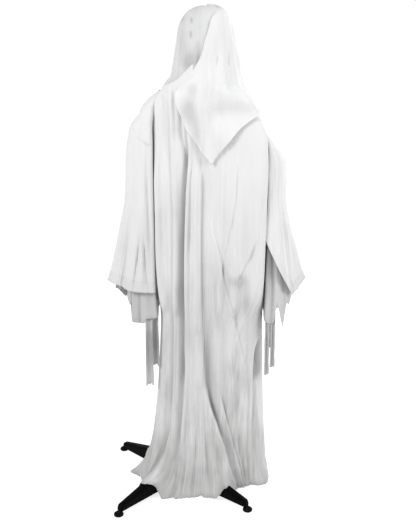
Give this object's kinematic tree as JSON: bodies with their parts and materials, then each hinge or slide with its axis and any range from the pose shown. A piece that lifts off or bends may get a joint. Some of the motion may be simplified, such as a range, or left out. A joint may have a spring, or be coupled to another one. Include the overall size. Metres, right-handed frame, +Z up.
{
  "type": "animated ghost figure",
  "caption": "Life-size standing ghost in a hooded gauze robe and veil on a four-leg stand; its head, waist and arms move on drives hidden under the cloth.",
  "frame": {"origin": "on the floor, midway between the outer ends of the sleeves and of the stand, under the body's upright axis", "axes": "+Z up, -Y the way the figure faces, +X the figure's left side"},
  "size_m": [0.7496, 0.553, 1.829],
  "materials": {
    "black_plastic": "moulded, faintly grained",
    "pad_rubber": "matt",
    "pole_steel": "zinc plated",
    "gear_nylon": "moulded, slightly waxy",
    "motor_can": "drawn steel can",
    "dark_plastic": "moulded, faintly grained",
    "speaker_paper": "treated paper",
    "red_lens": "clear dyed plastic",
    "circuit_green": "solder mask",
    "battery_wrap": "plain wrap",
    "lead_rubber": "flexible vinyl jacket",
    "foam": "open cell foam",
    "vinyl_skin": "blow-moulded vinyl, matt",
    "eye_lens": "frosted dome",
    "hood_cloth": "plain woven polyester",
    "robe_gauze": "thin gauze, greyed towards the floor",
    "veil_gauze": "thin gauze",
    "sleeve_gauze": "thin gauze over a lining",
    "torn_gauze": "thin gauze, torn edges"
  },
  "bodies": {
    "stand": {"stand_hub": "black_plastic", "stand_leg_back_left": "black_plastic", "stand_leg_back_right": "black_plastic", "stand_leg_front_right": "black_plastic", "stand_leg_front_left": "black_plastic", "foot_pad_back_left": "pad_rubber", "foot_pad_back_right": "pad_rubber", "foot_pad_front_right": "pad_rubber", "foot_pad_front_left": "pad_rubber", "lower_pole": "pole_steel", "upper_pole": "pole_steel", "fixed_gear": "gear_nylon", "spindle_screw": "pole_steel", "skirt_back": "robe_gauze", "skirt_front": "robe_gauze"},
    "pole_button": {"pole_snap_button": "pole_steel"},
    "torso": {"turning_plate": "black_plastic", "waist_motor": "motor_can", "torso_post": "pole_steel", "shoulder_yoke": "black_plastic", "neck_tube": "pole_steel", "head_drive": "dark_plastic", "torso_box_front": "dark_plastic", "torso_box_back": "dark_plastic", "speaker": "speaker_paper", "sensor_lens": "red_lens", "circuit_board": "circuit_green", "battery_1": "battery_wrap", "battery_2": "battery_wrap", "battery_3": "battery_wrap", "battery_cradle": "black_plastic", "power_inlet": "black_plastic", "motor_lead": "lead_rubber", "head_lead": "lead_rubber", "robe_upper": "robe_gauze", "veil_back": "veil_gauze", "shoulder_pad_left": "foam", "shoulder_pad_right": "foam"},
    "pinion": {"drive_pinion": "gear_nylon"},
    "door": {"battery_door": "dark_plastic"},
    "switch": {"power_switch": "black_plastic"},
    "button": {"try_me_button": "vinyl_skin"},
    "head": {"head_mount": "dark_plastic", "face_mask": "vinyl_skin", "head_back": "vinyl_skin", "eye_lens_left": "eye_lens", "eye_lens_right": "eye_lens", "hood": "hood_cloth", "veil_crown": "veil_gauze"},
    "left_arm": {"left_arm_tube": "black_plastic", "left_hand": "vinyl_skin", "left_sleeve": "sleeve_gauze", "left_inner_sleeve": "torn_gauze"},
    "right_arm": {"right_arm_tube": "black_plastic", "right_hand": "vinyl_skin", "right_sleeve": "sleeve_gauze", "right_inner_sleeve": "torn_gauze"}
  },
  "joints": [
    {"name": "torso_twist", "type": "hinge", "parent": "stand", "child": "torso", "pos_m": [0, 0, 0.905], "axis": [0, 0, 1], "range_deg": [-10, 10]},
    {"name": "pinion_spin", "type": "hinge", "parent": "torso", "child": "pinion", "pos_m": [0, -0.0502, 0.9], "axis": [0, 0, 1], "range_deg": [-36, 36]},
    {"name": "head_turn", "type": "hinge", "parent": "torso", "child": "head", "pos_m": [0, 0, 1.6], "axis": [0, 0, 1], "range_deg": [-25, 25]},
    {"name": "left_arm_swing", "type": "hinge", "parent": "torso", "child": "left_arm", "pos_m": [0.192, 0, 1.38], "axis": [-1, 0, 0], "range_deg": [-5, 30]},
    {"name": "right_arm_swing", "type": "hinge", "parent": "torso", "child": "right_arm", "pos_m": [-0.192, 0, 1.38], "axis": [-1, 0, 0], "range_deg": [-5, 30]},
    {"name": "battery_door_hinge", "type": "hinge", "parent": "torso", "child": "door", "pos_m": [0.03, 0.03, 1.18612], "axis": [-1, 0, 0], "range_deg": [0, 90]},
    {"name": "power_switch_slide", "type": "slide", "parent": "torso", "child": "switch", "axis": [0, 0, 1], "range_m": [0, 0.008]},
    {"name": "try_me_press", "type": "slide", "parent": "torso", "child": "button", "axis": [0, -1, 0], "range_m": [0, 0.0025], "stiffness_N_per_m": 400},
    {"name": "snap_button_press", "type": "slide", "parent": "stand", "child": "pole_button", "axis": [0, -1, 0], "range_m": [0, 0.004], "stiffness_N_per_m": 500}
  ],
  "couplings": [
    {"joint": "pinion_spin", "follows": "torso_twist", "ratio": 3}
  ]
}
